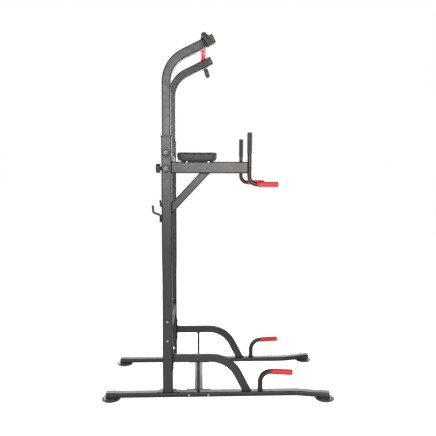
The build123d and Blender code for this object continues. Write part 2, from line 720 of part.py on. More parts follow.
with BuildPart() as bar_foam_grip:
    with BuildLine():
        FilletPolyline(bar_station(BAR_FOAM_Y).origin, bar_corner, BAR_TIP, radius=BAR_TIP_BEND_R)
    with BuildSketch(bar_station(BAR_FOAM_Y)):
        ring_section(BAR_FOAM_R, BAR_R)
    sweep()
    with BuildSketch(Plane(origin=BAR_TIP, z_dir=tip_dir)):
        Circle(BAR_FOAM_R)
    extrude(amount=GRIP_END)
    fillet(edges().filter_by(GeomType.CIRCLE).sort_by(Axis(BAR_TIP, tip_dir))[-1], GRIP_END - 1)
write_pair("bar_foam_grip", bar_foam_grip.part)

# ---- Fasteners ----
base_outer = at(outer_face, 0, 0, (BASE_W - UPRIGHT) / 2)
base_under = Plane(origin=(UPRIGHT_X, TRACK, BASE_BOTTOM), x_dir=(1, 0, 0), z_dir=(0, 0, -1))
frame_fasteners = [carriage_bolt(at(rear_face, 0, z), UPRIGHT + PLATE) for z in SUPPORT_BOLT_Z]
for side in (-1, 1):
    half_pitch = side * CROSS_BOLTS / 2
    frame_fasteners += [
        carriage_bolt(at(base_under, side * FOOT_BOLTS / 2, 0), BASE_H + FOOT_PLATE_T),
        carriage_bolt(at(base_outer, UPRIGHT_X - CROSS_X + half_pitch, BASE_MID), BASE_W + PLATE),
        carriage_bolt(at(outer_face, 0, LOWER_CROSS_Z + half_pitch), UPRIGHT + PLATE),
        hex_screw(at(inner_face, 0, UPPER_CROSS_Z + side * UPPER_BOLTS / 2, PLATE), PLATE + WALL + 1),
    ]
with BuildPart() as frame_bolts:
    add(frame_fasteners)
    mirror(about=Plane.XZ)
write_piece("frame_bolts", frame_bolts.part)

pad_screws = []
for u in PAD_BRACKETS:
    under_bracket = Plane(origin=arm_level(u, ARM_TOP).origin, x_dir=arm_plane.x_dir, z_dir=(0, 0, -1))
    for side in (-1, 1):
        under_hole = at(under_bracket, 0, side * BRACKET_BOLTS / 2)
        pad_screws.append(hex_screw(under_hole, BRACKET_T + BOARD_T - 0.5))
with BuildPart() as pad_bolts:
    add(pad_screws)
    mirror(about=Plane.XZ)
write_piece("pad_bolts", pad_bolts.part)

bar_bolt = carriage_bolt(bar_bolt_place, 2 * BAR_R - BAR_NOTCH + MAST)
with BuildPart() as bar_bolts:
    add(bar_bolt)
    mirror(about=Plane.XZ)
write_piece("bar_bolts", bar_bolts.part)
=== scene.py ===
import math

import bmesh
import bpy
from mathutils import Matrix, Vector, noise
from mathutils.bvhtree import BVHTree


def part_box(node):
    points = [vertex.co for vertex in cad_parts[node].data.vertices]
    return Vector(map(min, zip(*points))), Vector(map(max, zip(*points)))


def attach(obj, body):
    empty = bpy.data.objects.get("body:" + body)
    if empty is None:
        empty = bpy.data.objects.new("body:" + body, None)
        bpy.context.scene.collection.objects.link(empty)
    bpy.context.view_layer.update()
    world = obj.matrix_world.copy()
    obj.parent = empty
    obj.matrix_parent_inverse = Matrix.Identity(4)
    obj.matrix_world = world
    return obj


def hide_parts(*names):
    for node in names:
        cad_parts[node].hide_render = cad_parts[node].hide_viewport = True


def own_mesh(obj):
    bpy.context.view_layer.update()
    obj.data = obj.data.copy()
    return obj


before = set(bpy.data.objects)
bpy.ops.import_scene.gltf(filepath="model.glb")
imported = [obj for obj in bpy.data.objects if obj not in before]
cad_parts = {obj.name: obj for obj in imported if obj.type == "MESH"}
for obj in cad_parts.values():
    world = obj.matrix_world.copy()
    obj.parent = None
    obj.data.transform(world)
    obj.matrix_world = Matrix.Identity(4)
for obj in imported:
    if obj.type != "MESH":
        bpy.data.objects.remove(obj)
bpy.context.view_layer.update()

# Looks for the power tower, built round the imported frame.  Metres; +X front, +Y the user's left, +Z up.
# Pieces in pairs are made by the same function, with side +1 on the left and -1 on the right.
MM = 0.001
SIDES = {"left": 1, "right": -1}

# ---- Sizes that the frame's boxes don't give ----
TRACK = 0.272               # side frame to centre plane
UPRIGHT = 0.060
TUBE_CORNER = 0.007
UPRIGHT_X = -0.310
BASE_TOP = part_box("base_tube_left")[1].z
ARM_TOE = math.radians(2)
ARM_WIDTH = 0.040
ARM_Z = (1.390, 1.458)
ARM_END = 0.478             # from the upright's centre
HANDLE_R = 0.0125           # dip handle tubes
PUSHUP_R = 0.015            # push-up handle tubes
GRIP_END = 0.006            # closed end of a grip
BRACE_ANGLE = math.radians(47)
BRACE_SIZE = (0.025, 0.045)
BRACE_REACH = 0.225
PAD_MIDDLE = 0.181          # from the upright's centre
SUPPORT_DROP = math.radians(62.8)
BAR_BEND_Y = 0.320
BAR_ABOVE_MAST = 0.0088     # bar's axis above the mast arm's top face
CRADLE = (0.036, 0.034)     # across and along the mast arm
BAR_BEND_R = 0.060
BAR_TIP = Vector((-0.055, 0.459, 2.099))
MAST_TURN = math.radians(63.5)
BEAD_R = 0.0023             # weld beads
BEAD_STEP = 0.0011
BEAD_PITCH = 0.0044         # distance between ripples


# ---- Node and material helpers ----
def add_node(tree, kind, inputs=None, **settings):
    """A node with its settings, and with values or links on its inputs."""
    made = tree.nodes.new(kind)
    for key, value in settings.items():
        setattr(made, key, value)
    for key, value in (inputs or {}).items():
        if isinstance(value, bpy.types.NodeSocket):
            tree.links.new(value, made.inputs[key])
        else:
            made.inputs[key].default_value = value
    return made


def noise_at(tree, where, scale, detail=2.0, roughness=0.5):
    """Noise between 0 and 1, with features about 1/scale metres across."""
    inputs = {"Vector": where, "Scale": scale, "Detail": detail, "Roughness": roughness}
    return add_node(tree, "ShaderNodeTexNoise", inputs).outputs["Fac"]


def spread(tree, value, low, high, from_low=0.3, from_high=0.7):
    """A value mapped to the range low to high."""
    inputs = {"Value": value, "From Min": from_low, "From Max": from_high, "To Min": low, "To Max": high}
    return add_node(tree, "ShaderNodeMapRange", inputs).outputs["Result"]


def mix_colour(tree, factor, first, second):
    """One colour shading into another by a factor."""
    made = add_node(tree, "ShaderNodeMix", data_type="RGBA")
    for socket, value in ((0, factor), (6, first), (7, second)):
        if isinstance(value, bpy.types.NodeSocket):
            tree.links.new(value, made.inputs[socket])
        elif socket:
            made.inputs[socket].default_value = (*value, 1.0)
        else:
            made.inputs[socket].default_value = value
    return made.outputs[2]


def bumped(tree, height, distance, strength=1.0, normal=None):
    """A normal bumped by a height."""
    inputs = {"Height": height, "Distance": distance, "Strength": strength}
    if normal is not None:
        inputs["Normal"] = normal
    return add_node(tree, "ShaderNodeBump", inputs).outputs["Normal"]


def stretched(tree, where, scale):
    """Coordinates scaled unevenly, for streaks."""
    return add_node(tree, "ShaderNodeMapping", {"Vector": where, "Scale": scale}).outputs["Vector"]


def softened(tree, radius):
    """(normal rounded over sharp edges, share of edge) within a radius."""
    rounded = add_node(tree, "ShaderNodeBevel", {"Radius": radius}, samples=4).outputs["Normal"]
    flat = add_node(tree, "ShaderNodeNewGeometry").outputs["Normal"]
    dot = add_node(tree, "ShaderNodeVectorMath", operation="DOT_PRODUCT")
    tree.links.new(rounded, dot.inputs[0])
    tree.links.new(flat, dot.inputs[1])
    return rounded, spread(tree, dot.outputs["Value"], 1.0, 0.0, 0.90, 0.995)


def times(tree, a, b):
    """Product of two node outputs, or of an output and a number."""
    return add_node(tree, "ShaderNodeMath", {0: a, 1: b}, operation="MULTIPLY").outputs[0]


def rim_gloss(tree, gloss, rim):
    """Specular level that falls off on rounded corners, and holds on level tops."""
    facing = add_node(tree, "ShaderNodeLayerWeight", {"Blend": 0.5}).outputs["Facing"]
    falling = spread(tree, facing, gloss, rim, 0.06, 0.34)
    normal = add_node(tree, "ShaderNodeNewGeometry").outputs["Normal"]
    rise = add_node(tree, "ShaderNodeSeparateXYZ", {"Vector": normal}).outputs["Z"]
    level = spread(tree, rise, 0.0, gloss, 0.86, 0.97)
    return add_node(tree, "ShaderNodeMath", {0: falling, 1: level}, operation="MAXIMUM").outputs[0]


def new_material(name, **sockets):
    """(material, tree, its shader, object coordinates), with constants set on the shader."""
    made = bpy.data.materials.new(name)
    made.use_nodes = True
    tree = made.node_tree
    shader = tree.nodes["Principled BSDF"]
    for key, value in sockets.items():
        shader.inputs[key.replace("_", " ")].default_value = value
    where = add_node(tree, "ShaderNodeTexCoord").outputs["Object"]
    return made, tree, shader, where


def drive(tree, shader, **links):
    """Link node outputs to the shader's inputs."""
    for key, value in links.items():
        tree.links.new(value, shader.inputs[key.replace("_", " ")])


# ---- Materials ----
def powder_coat():
    """Satin black powder coat with orange peel.  Tube corners are darker and duller, as photographed:
    painted shade along them.
    """
    made, tree, shader, where = new_material("frame_powder_coat")
    normal, edge = softened(tree, 1.0 * MM)
    mottle = noise_at(tree, where, 7, 3)
    fleck = noise_at(tree, where, 1700, 1)
    body = mix_colour(tree, mottle, (0.0120, 0.0115, 0.0115), (0.0185, 0.0178, 0.0175))
    body = mix_colour(tree, spread(tree, fleck, 0.0, 0.35, 0.55, 0.8), body, (0.050, 0.048, 0.046))
    corner_shade_mask = softened(tree, 7.0 * MM)[1]
    # Painted shade: the colour darkens within 7 mm of the tube corners.
    body = mix_colour(tree, spread(tree, corner_shade_mask, 0.0, 0.8, 0.0, 0.7), body, (0.004, 0.004, 0.004))
    colour = mix_colour(tree, spread(tree, edge, 0.0, 0.35, 0.0, 1.0), body, (0.034, 0.032, 0.031))
    rough = spread(tree, noise_at(tree, where, 38, 4), 0.33, 0.43)
    peel = bumped(tree, noise_at(tree, where, 420, 2), 0.10 * MM, 0.55, normal)
    grain = bumped(tree, noise_at(tree, where, 2300, 2), 0.03 * MM, 0.5, peel)
    drive(tree, shader, Base_Color=colour, Roughness=rough, Normal=grain)
    gloss = spread(tree, corner_shade_mask, 1.0, 0.16, 0.0, 0.55)
    gloss = times(tree, gloss, rim_gloss(tree, 0.58, 0.05))
    drive(tree, shader, Specular_IOR_Level=gloss)
    return made


def red_rubber():
    """Moulded red rubber with a fine matt grain and a slightly uneven tone and roughness."""
    made, tree, shader, where = new_material("grip_red_rubber", Specular_IOR_Level=0.55)
    cloud = noise_at(tree, where, 45, 3)
    colour = mix_colour(tree, cloud, (0.56, 0.012, 0.018), (0.72, 0.022, 0.030))
    rough = spread(tree, noise_at(tree, where, 160, 3), 0.34, 0.52)
    grain = bumped(tree, noise_at(tree, where, 1900, 3), 0.05 * MM, 0.6)
    drive(tree, shader, Base_Color=colour, Roughness=rough, Normal=grain)
    return made


def black_foam():
    """Closed-cell foam: open pores of mixed sizes in a dull skin, with painted shade darkening the pores.
    """
    made, tree, shader, where = new_material("grip_black_foam", Sheen_Weight=0.04, Sheen_Roughness=0.6)
    cells = add_node(tree, "ShaderNodeTexVoronoi", {"Vector": where, "Scale": 900.0}).outputs["Distance"]
    fine = noise_at(tree, where, 2600, 3)
    pores = spread(tree, cells, 0.0, 1.0, 0.05, 0.45)
    # Painted shade: the colour darkens in the pores.
    colour = mix_colour(tree, pores, (0.010, 0.010, 0.010), (0.040, 0.039, 0.038))
    worn = spread(tree, noise_at(tree, where, 60, 3), 0.0, 0.4)
    colour = mix_colour(tree, worn, colour, (0.055, 0.053, 0.051))
    rough = spread(tree, fine, 0.62, 0.82)
    normal = bumped(tree, fine, 0.05 * MM, 0.5, bumped(tree, pores, 0.16 * MM, 0.8))
    drive(tree, shader, Base_Color=colour, Roughness=rough, Normal=normal)
    return made


def leatherette():
    """Black vinyl cover: pebbled grain and creases, with painted shade between the pebbles and a soft
    painted sheen on the high grain.
    """
    made, tree, shader, where = new_material("pad_leatherette", Sheen_Weight=0.06, Specular_IOR_Level=0.36)
    cells = {"Vector": where, "Scale": 620.0, "Randomness": 0.9}
    pebble = add_node(tree, "ShaderNodeTexVoronoi", cells, feature="DISTANCE_TO_EDGE")
    grain = spread(tree, pebble.outputs["Distance"], 0.0, 1.0, 0.0, 0.32)
    crease = noise_at(tree, where, 24, 5, 0.6)
    # Painted shade darkens the valleys between the pebbles, and a painted sheen lightens their tops.
    colour = mix_colour(tree, grain, (0.012, 0.0118, 0.0115), (0.040, 0.0385, 0.0375))
    colour = mix_colour(tree, spread(tree, crease, 0.0, 0.45), colour, (0.056, 0.054, 0.052))
    rough = spread(tree, noise_at(tree, where, 90, 3), 0.40, 0.56)
    normal = bumped(tree, grain, 0.14 * MM, 0.8, bumped(tree, crease, 1.2 * MM, 0.35))
    drive(tree, shader, Base_Color=colour, Roughness=rough, Normal=normal)
    return made


def black_plastic():
    """Injection-moulded black plastic with an eroded mould texture."""
    made, tree, shader, where = new_material("moulded_black_plastic")
    normal, edge = softened(tree, 0.6 * MM)
    colour = mix_colour(tree, noise_at(tree, where, 30, 3), (0.022, 0.022, 0.023), (0.034, 0.033, 0.032))
    colour = mix_colour(tree, spread(tree, edge, 0.0, 0.4, 0.0, 1.0), colour, (0.055, 0.054, 0.053))
    rough = spread(tree, noise_at(tree, where, 110, 3), 0.30, 0.44)
    grain = bumped(tree, noise_at(tree, where, 1500, 3), 0.05 * MM, 0.6, normal)
    drive(tree, shader, Base_Color=colour, Roughness=rough, Normal=grain)
    drive(tree, shader, Specular_IOR_Level=rim_gloss(tree, 0.5, 0.05))
    return made


def foot_rubber():
    """Shiny black rubber of the suction cups, with a dusty bloom."""
    made, tree, shader, where = new_material("suction_cup_rubber", Coat_Weight=0.5, Coat_Roughness=0.2)
    bloom = spread(tree, noise_at(tree, where, 35, 5, 0.6), 0.0, 1.0, 0.45, 0.75)
    colour = mix_colour(tree, bloom, (0.075, 0.073, 0.075), (0.125, 0.121, 0.120))
    rough = spread(tree, bloom, 0.30, 0.48, 0.0, 1.0)
    grain = bumped(tree, noise_at(tree, where, 800, 3), 0.05 * MM, 0.5)
    drive(tree, shader, Base_Color=colour, Roughness=rough, Normal=grain)
    return made


def stained_plywood():
    """Black-stained plywood: the plies show as bands on the edges."""
    made, tree, shader, where = new_material("pad_board_plywood")
    height = add_node(tree, "ShaderNodeSeparateXYZ", {"Vector": where}).outputs["Z"]
    plies = add_node(tree, "ShaderNodeMath", {0: times(tree, height, 1900.0)}, operation="SINE")
    plies = spread(tree, plies.outputs[0], 0.0, 1.0, -0.6, 0.6)
    streak = noise_at(tree, stretched(tree, where, (40.0, 900.0, 900.0)), 1.0, 3)
    colour = mix_colour(tree, plies, (0.016, 0.013, 0.011), (0.052, 0.040, 0.031))
    colour = mix_colour(tree, spread(tree, streak, 0.0, 0.5), colour, (0.020, 0.017, 0.015))
    rough = spread(tree, streak, 0.55, 0.75)
    drive(tree, shader, Base_Color=colour, Roughness=rough, Normal=bumped(tree, streak, 0.10 * MM, 0.6))
    return made


def plated_steel(name, colour, tone):
    """Zinc-plated or spring steel: cloudy plating and fine scratches."""
    made, tree, shader, where = new_material(name, Metallic=1.0)
    normal = softened(tree, 0.35 * MM)[0]
    cloud = noise_at(tree, where, 260, 4, 0.6)
    colour = mix_colour(tree, cloud, tuple(c * tone for c in colour), colour)
    scratch = noise_at(tree, stretched(tree, where, (3000.0, 160.0, 700.0)), 1.0, 2)
    rough = spread(tree, cloud, 0.22, 0.40)
    grain = bumped(tree, scratch, 0.02 * MM, 0.5, normal)
    drive(tree, shader, Base_Color=colour, Roughness=rough, Normal=grain)
    return made


def stitch_thread():
    """Dark twisted sewing thread."""
    made, tree, shader, where = new_material("pad_thread", Sheen_Weight=0.3)
    twist = noise_at(tree, where, 2600, 2)
    colour = mix_colour(tree, twist, (0.030, 0.029, 0.028), (0.085, 0.082, 0.080))
    rough = spread(tree, twist, 0.5, 0.7)
    drive(tree, shader, Base_Color=colour, Roughness=rough, Normal=bumped(tree, twist, 0.1 * MM))
    return made


FLOOR_GLOW = (0.30, 0.94)    # to the light, and to the camera
BACKDROP_GLOW = (0.08, 1.0)


def studio_floor():
    """Pale floor with a faint unevenness, brighter to the camera than to the light it casts."""
    made, tree, shader, where = new_material("studio_floor")
    shader.inputs["Emission Color"].default_value = (1, 1, 1, 1)
    seen = add_node(tree, "ShaderNodeLightPath").outputs["Is Camera Ray"]
    glow = spread(tree, seen, *FLOOR_GLOW, 0.0, 1.0)
    drive(tree, shader, Emission_Strength=glow)
    cloud = noise_at(tree, where, 3, 4)
    colour = mix_colour(tree, cloud, (0.82, 0.82, 0.82), (0.86, 0.86, 0.86))
    drive(tree, shader, Base_Color=colour, Roughness=spread(tree, cloud, 0.6, 0.7))
    return made


MATERIALS = {
    "frame_paint": powder_coat(),
    "red_grip": red_rubber(),
    "black_foam": black_foam(),
    "pad_cover": leatherette(),
    "pad_board": stained_plywood(),
    "black_plastic": black_plastic(),
    "foot_rubber": foot_rubber(),
    "zinc": plated_steel("zinc_plated_steel", (0.80, 0.80, 0.79), 0.82),
    "spring_steel": plated_steel("spring_steel", (0.52, 0.51, 0.50), 0.75),
    "knob_insert": plated_steel("knob_insert_steel", (0.20, 0.20, 0.195), 0.8),
    "thread": stitch_thread(),
}


# ---- Mesh helpers ----
def placed(origin, z_dir, x_dir):
    """A matrix that puts local z along z_dir and local x as near to x_dir as it goes."""
    z = Vector(z_dir).normalized()
    y = z.cross(Vector(x_dir)).normalized()
    matrix = Matrix((y.cross(z), y, z)).transposed().to_4x4()
    matrix.translation = Vector(origin)
    return matrix


def skin(bm, rings, looped=False):
    """Quads between neighbouring rings of points.  The row of rings is looped, or closed at both ends."""
    rows = [[bm.verts.new(p) for p in ring] for ring in rings]
    joins = list(zip(rows, rows[1:]))
    if looped:
        joins.append((rows[-1], rows[0]))
    for a, b in joins:
        for i in range(len(a)):
            j = (i + 1) % len(a)
            bm.faces.new((a[i], a[j], b[j], b[i]))
    if not looped:
        bm.faces.new(rows[0][::-1])
        bm.faces.new(rows[-1])


def turns(steps):
    """Evenly spaced angles round a circle."""
    return [math.tau * i / steps for i in range(steps)]


def lathe(bm, place, profile, steps=48, shape=None):
    """Turn a profile of (along, radius) about a place's z axis.

    shape(along, radius, angle) may vary the radius.
    """
    def ring(along, radius):
        radii = [(shape(along, radius, a) if shape else radius, a) for a in turns(steps)]
        return [place @ Vector((r * math.cos(a), r * math.sin(a), along)) for r, a in radii]

    skin(bm, [ring(along, radius) for along, radius in profile])


def arc(centre_along, centre_radius, radius, start, end, steps):
    """Profile points on an arc, with angles in degrees from the outward direction."""
    angles = [math.radians(start + (end - start) * i / steps) for i in range(steps + 1)]
    return [(centre_along + radius * math.sin(a), centre_radius + radius * math.cos(a)) for a in angles]


def filleted(start, corner, end, radius, step):
    """Points along two straight runs joined by an arc."""
    start, corner, end = Vector(start), Vector(corner), Vector(end)
    u, v = (start - corner).normalized(), (end - corner).normalized()
    half = u.angle(v) / 2
    reach = radius / math.tan(half)
    centre = corner + (u + v).normalized() * (radius / math.sin(half))
    first, last = corner + u * reach - centre, corner + v * reach - centre
    sweep = first.angle(last)
    normal = first.cross(last)
    count = max(2, round(radius * sweep / step))
    bend = [centre + Matrix.Rotation(sweep * i / count, 3, normal) @ first for i in range(count + 1)]
    runs = []
    for a, b in ((start, bend[0]), (bend[-1], end)):
        n = max(1, round((b - a).length / step))
        runs.append([a.lerp(b, i / n) for i in range(n + 1)])
    return runs[0][:-1] + bend + runs[1][1:]


def tube(bm, points, radii, steps, side, looped=False):
    """A round tube along points, with a radius at each of them and side as its reference direction."""
    count = len(points)
    rings = []
    for i, (p, radius) in enumerate(zip(points, radii)):
        before = points[i - 1] if looped or i else p
        after = points[(i + 1) % count] if looped or i < count - 1 else p
        place = placed(p, after - before, side)
        circle = [Vector((radius * math.cos(a), radius * math.sin(a), 0)) for a in turns(steps)]
        rings.append([place @ point for point in circle])
    skin(bm, rings, looped)


def rounded_rectangle(width, height, corner, step):
    """Evenly spaced points round a rounded rectangle, as (x, y)."""
    corner = max(corner, 1e-5)
    a, b = width / 2 - corner, height / 2 - corner
    spans = []                     # (length, point at a share of the span)
    for k, (cx, cy) in enumerate(((a, b), (-a, b), (-a, -b), (a, -b))):
        spans.append((corner * math.pi / 2, cx, cy, k * math.pi / 2, None))
        nx, ny = ((-a, b), (-a, -b), (a, -b), (a, b))[k]
        turn = (k + 1) * math.pi / 2
        spans.append((math.hypot(nx - cx, ny - cy), cx, cy, turn, (nx, ny)))
    total = sum(s[0] for s in spans)
    count = max(12, round(total / step))
    points = []
    for i in range(count):
        left = total * i / count
        for length, cx, cy, turn, target in spans:
            if left <= length:
                break
            left -= length
        share = left / length if length else 0
        if target is None:
            angle = turn + share * math.pi / 2
            points.append((cx + corner * math.cos(angle), cy + corner * math.sin(angle)))
        else:
            x, y = cx + (target[0] - cx) * share, cy + (target[1] - cy) * share
            points.append((x + corner * math.cos(turn), y + corner * math.sin(turn)))
    return points


def finish_piece(name, bm, body, material, replaces=(), sharp=35):
    """Turn a bmesh into a shaded piece that rides on a body."""
    bmesh.ops.recalc_face_normals(bm, faces=bm.faces)
    mesh = bpy.data.meshes.new(name)
    bm.to_mesh(mesh)
    bm.free()
    mesh.shade_smooth()
    mesh.set_sharp_from_angle(angle=math.radians(sharp))
    mesh.materials.append(MATERIALS[material])
    piece = bpy.data.objects.new(name, mesh)
    bpy.context.scene.collection.objects.link(piece)
    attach(piece, body)
    if replaces:
        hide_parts(*replaces)
    return piece


# ---- Places worked out from the frame ----
def arm_place(side, u, z, lateral=0.0):
    """A point on a dip arm, u out from the upright's centre, and the arm's directions along and across."""
    along = Vector((math.cos(ARM_TOE), side * math.sin(ARM_TOE), 0))
    across = Vector((-side * math.sin(ARM_TOE), math.cos(ARM_TOE), 0))
    return Vector((UPRIGHT_X, side * TRACK, z)) + along * u + across * lateral, along, across


def centre(node):
    low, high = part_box(node)
    return (low + high) / 2


# ---- Grips ----
RIBS = 22
STUD_PITCH = 0.0085
STUD_DEPTH = 0.0009


def studded(first, last):
    """A shape that cuts rows of shallow grooves between raised studs, from first to last along a grip."""
    def shape(along, radius, angle):
        if not first < along < last:
            return radius
        around = 0.5 + 0.5 * math.cos(RIBS * angle)
        lengthwise = 0.5 + 0.5 * math.cos(math.tau * (along - first) / STUD_PITCH)
        raised = min(1.0, 2.2 * around) * min(1.0, 3.0 * (1 - lengthwise) + 0.25)
        return radius - STUD_DEPTH * (1 - raised)

    return shape


def closed_grip(name, node, toe_out, length, bore, side):
    """A studded rubber sleeve with a rolled lip at its mouth and a domed, closed end at its tip."""
    low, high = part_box(node)
    radius = (high.z - low.z) / 2
    heading = Vector((math.cos(toe_out), side * math.sin(toe_out), 0))
    place = placed(centre(node) - heading * length / 2, heading, (0, 0, 1))
    dome = radius * 0.5
    first, last = 0.011, length - dome
    count = round((last - first) / (STUD_PITCH / 6))
    profile = [(length - GRIP_END, 0.3 * MM), (length - GRIP_END, bore), (0.0, bore)]
    profile += arc(0.0026, radius - 0.0026, 0.0026, -80, 80, 8)
    profile += [(0.0068, radius - 1.3 * MM), (0.0085, radius - 1.1 * MM), (0.0100, radius - 0.2 * MM)]
    profile += [(first + (last - first) * i / count, radius - 0.1 * MM) for i in range(count + 1)]
    profile += arc(length - dome, radius - dome, dome, 10, 88, 8)
    profile.append((length, 0.3 * MM))
    bm = bmesh.new()
    lathe(bm, place, profile, RIBS * 5, studded(first + 0.002, last - 0.002))
    finish_piece(name, bm, "tower_frame", "red_grip", replaces=(node,), sharp=50)


def handle_grips():
    """The lower dip grips and the push-up grips."""
    for name, side in SIDES.items():
        for kind, toe_out, length, bore in (
            ("dip_red_grip", 10, 0.126, HANDLE_R), ("pushup_grip", 8, 0.133, PUSHUP_R)
        ):
            node = f"{kind}_{name}"
            closed_grip(f"{node}_sleeve", node, math.radians(toe_out), length, bore + 0.05 * MM, side)


def bar_red_grips():
    """Open studded sleeves either side of the bar's middle."""
    for name in SIDES:
        node = f"bar_red_grip_{name}"
        low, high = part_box(node)
        radius, length = (high.z - low.z) / 2, high.y - low.y
        place = placed(Vector((centre(node).x, low.y, centre(node).z)), (0, 1, 0), (0, 0, 1))
        bore = 0.01405
        first, last = 0.008, length - 0.008
        count = round((last - first) / (STUD_PITCH / 6))
        profile = [(0.0, bore)] + arc(0.0028, radius - 0.0028, 0.0028, -90, 80, 7)
        profile.append((0.0070, radius - 0.6 * MM))
        profile += [(first + (last - first) * i / count, radius - 0.1 * MM) for i in range(count + 1)]
        profile.append((length - 0.0070, radius - 0.6 * MM))
        profile += arc(length - 0.0028, radius - 0.0028, 0.0028, -80, 90, 7) + [(length, bore)]
        shape = studded(first + 0.002, last - 0.002)
        rings = [
            [
                place @ Vector((shape(u, r, a) * math.cos(a), shape(u, r, a) * math.sin(a), u))
                for a in turns(RIBS * 5)
            ]
            for u, r in profile
        ]
        bm = bmesh.new()
        skin(bm, rings, looped=True)
        sleeve = f"bar_red_grip_{name}_sleeve"
        finish_piece(sleeve, bm, "upper_frame", "red_grip", replaces=(node,), sharp=50)


def foam_radii(distances, length, radius, soft, seed):
    """Radii along a foam sleeve: softly rounded ends and a slightly uneven surface."""
    radii = []
    for d in distances:
        end = min(d, length - d)
        lip = 1 - max(0.0, 1 - end / soft) ** 2.6 * 0.13
        wave = 0.22 * MM * noise.noise(Vector((d * 55, seed, 0.3)))
        radii.append(radius * lip - 0.25 * MM + wave)
    return radii


def dip_foam_grips():
    """Foam sleeves on the upright dip handles, closed over the tube ends."""
    for name in SIDES:
        node = f"dip_foam_grip_{name}"
        low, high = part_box(node)
        radius, length = (high.x - low.x) / 2, high.z - low.z
        place = placed(Vector((centre(node).x, centre(node).y, low.z)), (0, 0, 1), (1, 0, 0))
        bore = HANDLE_R + 0.05 * MM
        cap = 0.004
        rounding = 0.0035
        count = 44
        stations = [rounding + (length - 2 * rounding) * i / count for i in range(count + 1)]
        profile = [(length - cap, 0.3 * MM), (length - cap, bore), (0.0, bore)]
        profile += arc(0.0022, radius - 0.0026, 0.0022, -90, -10, 5)
        profile += list(zip(stations, foam_radii(stations, length, radius, 0.010, len(name))))
        profile += arc(length - rounding, radius - rounding - 0.8 * MM, rounding, 25, 90, 6)
        profile.append((length, 0.3 * MM))
        bm = bmesh.new()
        lathe(bm, place, profile, 56)
        piece = finish_piece(
            f"dip_foam_grip_{name}_sleeve", bm, "tower_frame", "black_foam", replaces=(node,), sharp=60
        )


def bar_foam_grips():
    """Foam sleeves over the bar's turned-down ends, closed over the tube ends."""
    for name, side in SIDES.items():
        node = f"bar_foam_grip_{name}"
        low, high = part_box(node)
        start_y = low.y if side > 0 else high.y
        bar = centre(f"bar_red_grip_{name}")
        start = Vector((bar.x, start_y, bar.z))
        corner = Vector((bar.x, side * BAR_BEND_Y, bar.z))
        tip = Vector((BAR_TIP.x, side * BAR_TIP.y, BAR_TIP.z))
        end = tip + (tip - corner).normalized() * GRIP_END
        points = filleted(start, corner, end, BAR_BEND_R, 0.0025)
        distances = [0.0]
        for a, b in zip(points, points[1:]):
            distances.append(distances[-1] + (b - a).length)
        length = distances[-1]
        radii = foam_radii(distances, length, 0.0165, 0.009, 3.0 + side)
        nose = 0.007
        for i, d in enumerate(distances):
            past = max(0.0, d - (length - nose)) / nose
            radii[i] *= math.sqrt(max(0.02, 1 - 0.94 * past * past))
        bm = bmesh.new()
        plane_normal = (corner - start).cross(end - corner).normalized()
        tube(bm, points, radii, 48, plane_normal)
        piece = finish_piece(
            f"bar_foam_grip_{name}_sleeve", bm, "upper_frame", "black_foam", replaces=(node,), sharp=60
        )


# ---- Forearm pads ----
PAD_CAP = 1.8 * MM          # the furthest that a point of the pad swells
POCKET = (0.101, 0.046, 0.0115)  # half length, half width and depth held round the board


def pad_local(side):
    """The pad's own placing: x along the arm, y across it, z up from the cover's lower edge."""
    origin, along, _ = arm_place(side, PAD_MIDDLE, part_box("forearm_pad_left")[0].z)
    return placed(origin, (0, 0, 1), along)


def pad_block(place, height):
    """The pad's form, before its slight swelling: a pocket for the board below, widest near the top."""
    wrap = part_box("pad_board_left")[1].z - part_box("forearm_pad_left")[0].z
    levels = (                  # height, length, width, corner
        (wrap + 0.0005, 0.198, 0.086, 0.014),
        (0.0, 0.198, 0.086, 0.014),
        (0.0, 0.212, 0.107, 0.020),
        (0.0025, 0.219, 0.112, 0.022),
        (0.0080, 0.223, 0.114, 0.024),
        (0.45 * height, 0.231, 0.118, 0.026),
        (0.74 * height, 0.235, 0.120, 0.027),
        (0.86 * height, 0.2345, 0.119, 0.026),
        (0.93 * height, 0.230, 0.115, 0.024),
        (0.960 * height, 0.221, 0.107, 0.020),
    )
    bm = bmesh.new()
    count = 120
    rings = []
    for z, length, width, corner in levels:
        outline = rounded_rectangle(length, width, corner, (length + width) * 2 / (count * 8))
        ring = [outline[i * len(outline) // count] for i in range(count)]
        rings.append([place @ Vector((x, y, z)) for x, y in ring])
    skin(bm, rings)
    bmesh.ops.recalc_face_normals(bm, faces=bm.faces)
    mesh = bpy.data.meshes.new("pad_block")
    bm.to_mesh(mesh)
    bm.free()
    return mesh


def evaluated_copy(piece):
    """A new mesh with the piece's modifiers applied."""
    graph = bpy.context.evaluated_depsgraph_get()
    return bpy.data.meshes.new_from_object(piece.evaluated_get(graph), depsgraph=graph)


def remesh(piece, voxel):
    """Replace a piece's mesh by an even one."""
    modifier = piece.modifiers.new("remesh", "REMESH")
    modifier.mode = "VOXEL"
    modifier.voxel_size = voxel
    mesh = evaluated_copy(piece)
    piece.modifiers.clear()
    piece.data = mesh


